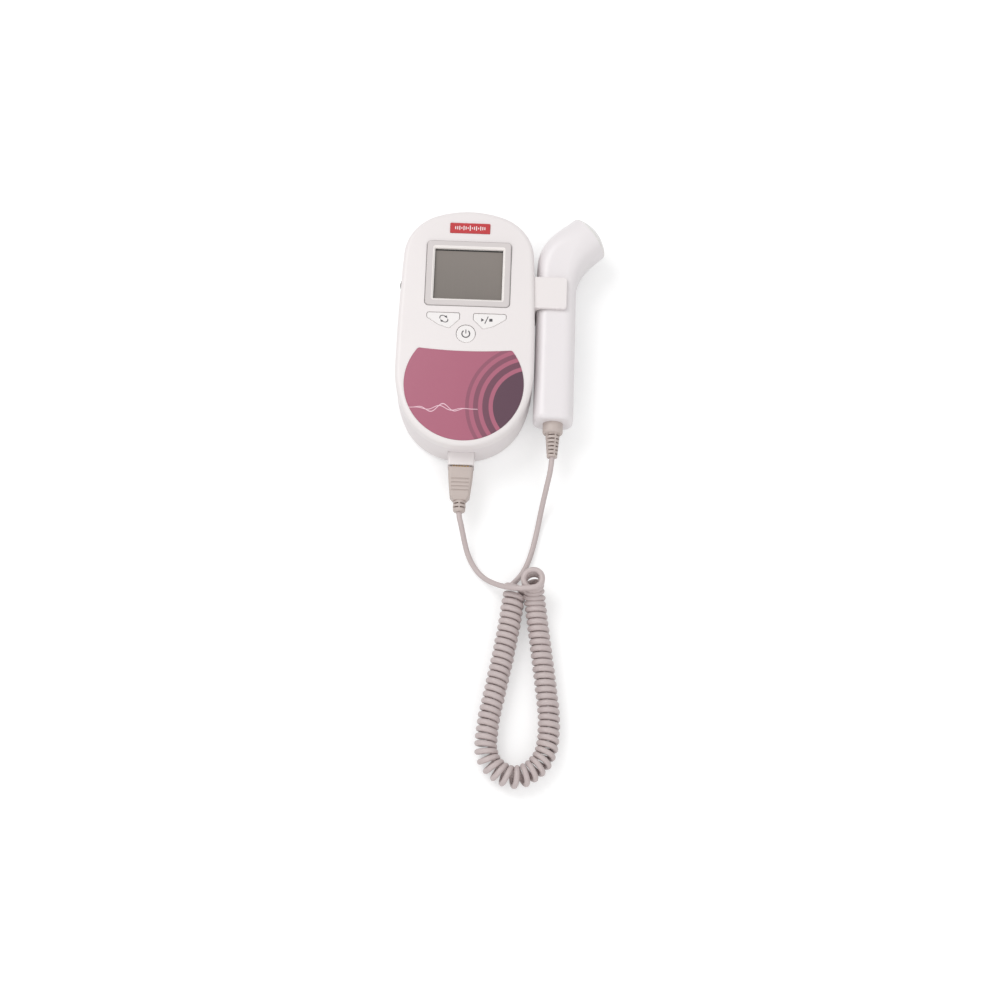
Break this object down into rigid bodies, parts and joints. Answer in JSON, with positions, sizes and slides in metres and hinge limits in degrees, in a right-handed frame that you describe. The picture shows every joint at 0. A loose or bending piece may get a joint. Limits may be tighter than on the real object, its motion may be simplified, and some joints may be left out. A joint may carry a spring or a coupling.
{
  "type": "fetal doppler monitor",
  "caption": "Pocket fetal doppler: egg-shaped unit with screen, keys and volume wheel, a probe in its side holder, a plug and a coiled cord.",
  "frame": {"origin": "middle of the main unit's flat back face, on which it lies", "axes": "+X to the right, seen from the front with the screen upright; +Y towards the top end; +Z out of the front face"},
  "size_m": [0.1124, 0.3179, 0.032],
  "materials": {
    "white_plastic": "satin white",
    "probe_plastic": "satin white",
    "face_plastic": "smooth white",
    "pink_film": "satin printed film",
    "red_plate": "satin",
    "silver_plastic": "satin metallic paint",
    "lcd_glass": "grey-green reflective display",
    "black_plastic": "matt",
    "diffuser": "milky",
    "silicone": "matt",
    "steel": "plated",
    "board": "solder resist",
    "chip_plastic": "matt",
    "paper_cone": "matt paper",
    "cell_metal": "printed jacket",
    "contact_brass": "gold plated",
    "grey_plug": "matt moulded",
    "grey_cord": "satin jacket",
    "ceramic_disc": "matt ceramic"
  },
  "bodies": {
    "main_unit": {"front_shell": "white_plastic", "rear_shell": "white_plastic", "front_label": "pink_film", "badge_plate": "red_plate", "lcd_bezel": "silver_plastic", "lcd_panel": "lcd_glass", "lcd_carrier": "black_plastic", "lcd_backlight": "diffuser", "lcd_connector": "silicone", "keypad_membrane": "silicone", "key_switches": "steel", "main_board": "board", "board_chips": "chip_plastic", "speaker_frame": "steel", "speaker_cone": "paper_cone", "volume_pot": "chip_plastic", "headphone_jack": "black_plastic", "case_screws": "steel", "batteries": "cell_metal", "battery_springs": "steel", "battery_tabs": "steel", "probe_socket": "white_plastic", "socket_contacts": "contact_brass", "probe_holder": "white_plastic", "holder_screws": "steel", "probe_lead": "grey_cord", "coiled_cord": "grey_cord", "plug_lead": "grey_cord"},
    "power_button": {"power_key": "white_plastic"},
    "mode_button": {"mode_key": "white_plastic"},
    "play_button": {"play_key": "white_plastic"},
    "volume_dial": {"volume_wheel": "black_plastic"},
    "battery_lid": {"battery_door": "white_plastic"},
    "doppler_probe": {"probe_front_shell": "probe_plastic", "probe_rear_shell": "probe_plastic", "probe_face": "face_plastic", "transducer_crystals": "ceramic_disc", "transducer_backing": "silicone", "probe_board": "board", "probe_relief": "grey_plug"},
    "cord_plug": {"plug_body": "grey_plug", "plug_contacts": "contact_brass", "plug_relief": "grey_plug"}
  },
  "joints": [
    {"name": "power_key_press", "type": "slide", "parent": "main_unit", "child": "power_button", "axis": [0, 0, -1], "range_m": [0, 0.0006], "stiffness_N_per_m": 800, "springref_m": -0.0004},
    {"name": "mode_key_press", "type": "slide", "parent": "main_unit", "child": "mode_button", "axis": [0, 0, -1], "range_m": [0, 0.0006], "stiffness_N_per_m": 800, "springref_m": -0.0004},
    {"name": "play_key_press", "type": "slide", "parent": "main_unit", "child": "play_button", "axis": [0, 0, -1], "range_m": [0, 0.0006], "stiffness_N_per_m": 800, "springref_m": -0.0004},
    {"name": "volume_turn", "type": "hinge", "parent": "main_unit", "child": "volume_dial", "pos_m": [-0.03019, 0.029, 0.0132], "axis": [0, 0, 1], "range_deg": [-140, 140]},
    {"name": "battery_lid_off", "type": "slide", "parent": "main_unit", "child": "battery_lid", "axis": [0, 0, -1], "range_m": [0, 0.012]},
    {"name": "probe_slide", "type": "slide", "parent": "main_unit", "child": "doppler_probe", "axis": [0, 1, 0], "range_m": [0, 0.088], "deforming": ["probe_lead", "coiled_cord"]},
    {"name": "plug_pull", "type": "slide", "parent": "main_unit", "child": "cord_plug", "axis": [0, -1, 0], "range_m": [0, 0.0095], "deforming": ["plug_lead"]}
  ]
}
